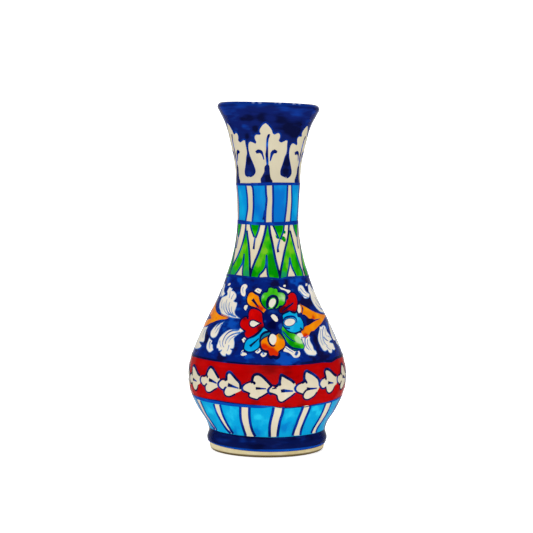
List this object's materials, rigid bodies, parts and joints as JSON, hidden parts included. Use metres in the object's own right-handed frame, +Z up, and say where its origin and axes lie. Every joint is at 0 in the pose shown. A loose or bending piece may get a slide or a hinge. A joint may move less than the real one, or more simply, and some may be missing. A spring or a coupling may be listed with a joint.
{
  "type": "pottery vase",
  "caption": "Hand-painted glazed pottery vase with a pear-shaped belly, slim neck and trumpet mouth, holding flowers or standing as an ornament.",
  "frame": {"origin": "centre of the foot's resting plane", "axes": "+Z up the vase's axis, front (the flower facing the viewer) towards -Y, +X to the viewer's right"},
  "size_m": [0.117, 0.117, 0.2569],
  "materials": {
    "clay": "bare fired clay, matte",
    "cream_glaze": "glossy",
    "cobalt_glaze": "glossy, brushed on",
    "outline_blue": "glossy brush line",
    "turquoise_glaze": "glossy, brushed on",
    "green_glaze": "glossy, brushed on",
    "red_glaze": "glossy",
    "orange_glaze": "glossy, brushed on"
  },
  "bodies": {
    "root": {"foot_ring": "clay", "lower_bowl": "clay", "shoulder": "clay", "neck": "clay", "flared_mouth": "clay", "foot_coat": "cobalt_glaze", "lower_stripe_coat": "turquoise_glaze", "garland_coat": "red_glaze", "flower_field_coat": "cobalt_glaze", "leaf_band_coat": "cream_glaze", "neck_stripe_coat": "turquoise_glaze", "collar_coat": "cobalt_glaze", "lining_coat": "cream_glaze"}
  },
  "joints": []
}
